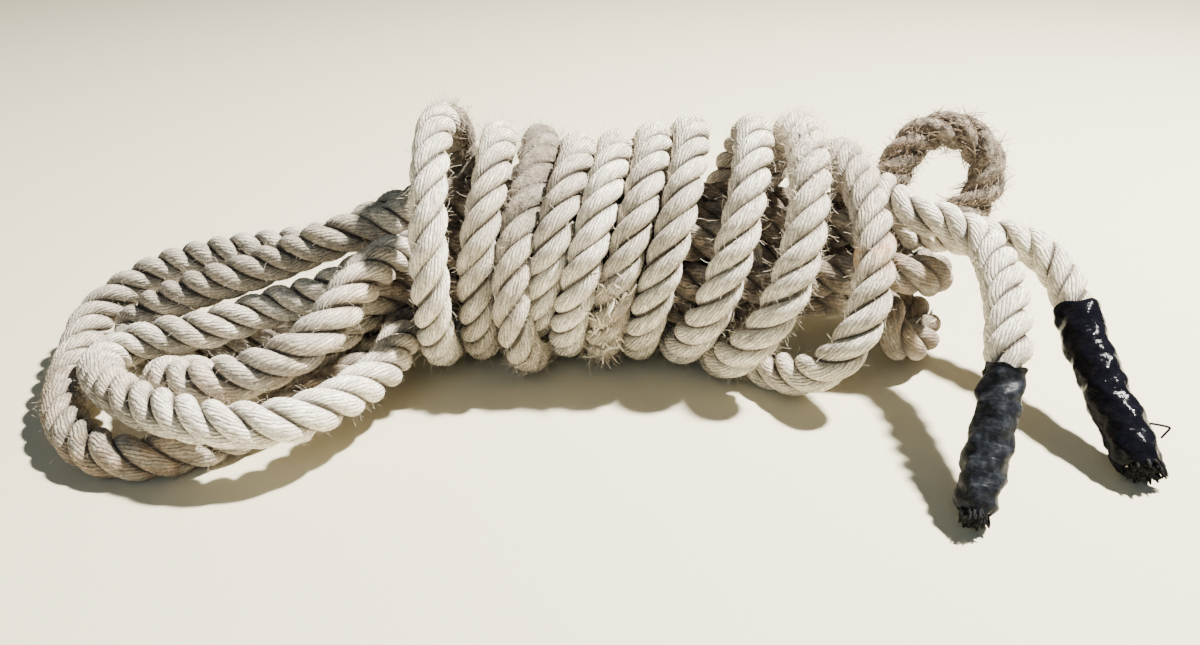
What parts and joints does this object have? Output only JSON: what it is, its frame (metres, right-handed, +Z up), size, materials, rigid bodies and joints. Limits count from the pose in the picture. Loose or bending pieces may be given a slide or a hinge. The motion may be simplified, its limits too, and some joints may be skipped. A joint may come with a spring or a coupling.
{
  "type": "hank of rope",
  "caption": "Thick laid manila rope made up as a hank and held by its own turns, worn and frayed, with its loose ends whipped in black tape.",
  "frame": {"origin": "on the surface that the hank lies on, under the middle of its bounding box", "axes": "+X along the bundle from the long bights to the short ones and the loose ends, +Y towards the back, +Z up"},
  "size_m": [0.9537, 0.4284, 0.2465],
  "materials": {
    "rope": "dry worn natural fibre, grey-beige, with dirt and stains",
    "rope_end": "dry natural fibre, a little cleaner than the rest",
    "black_tape": "glossy, wrinkled"
  },
  "bodies": {
    "root": {"hank": "rope", "end_a": "rope_end", "end_b": "rope_end", "tape_a": "black_tape", "tape_b": "black_tape"}
  },
  "joints": []
}
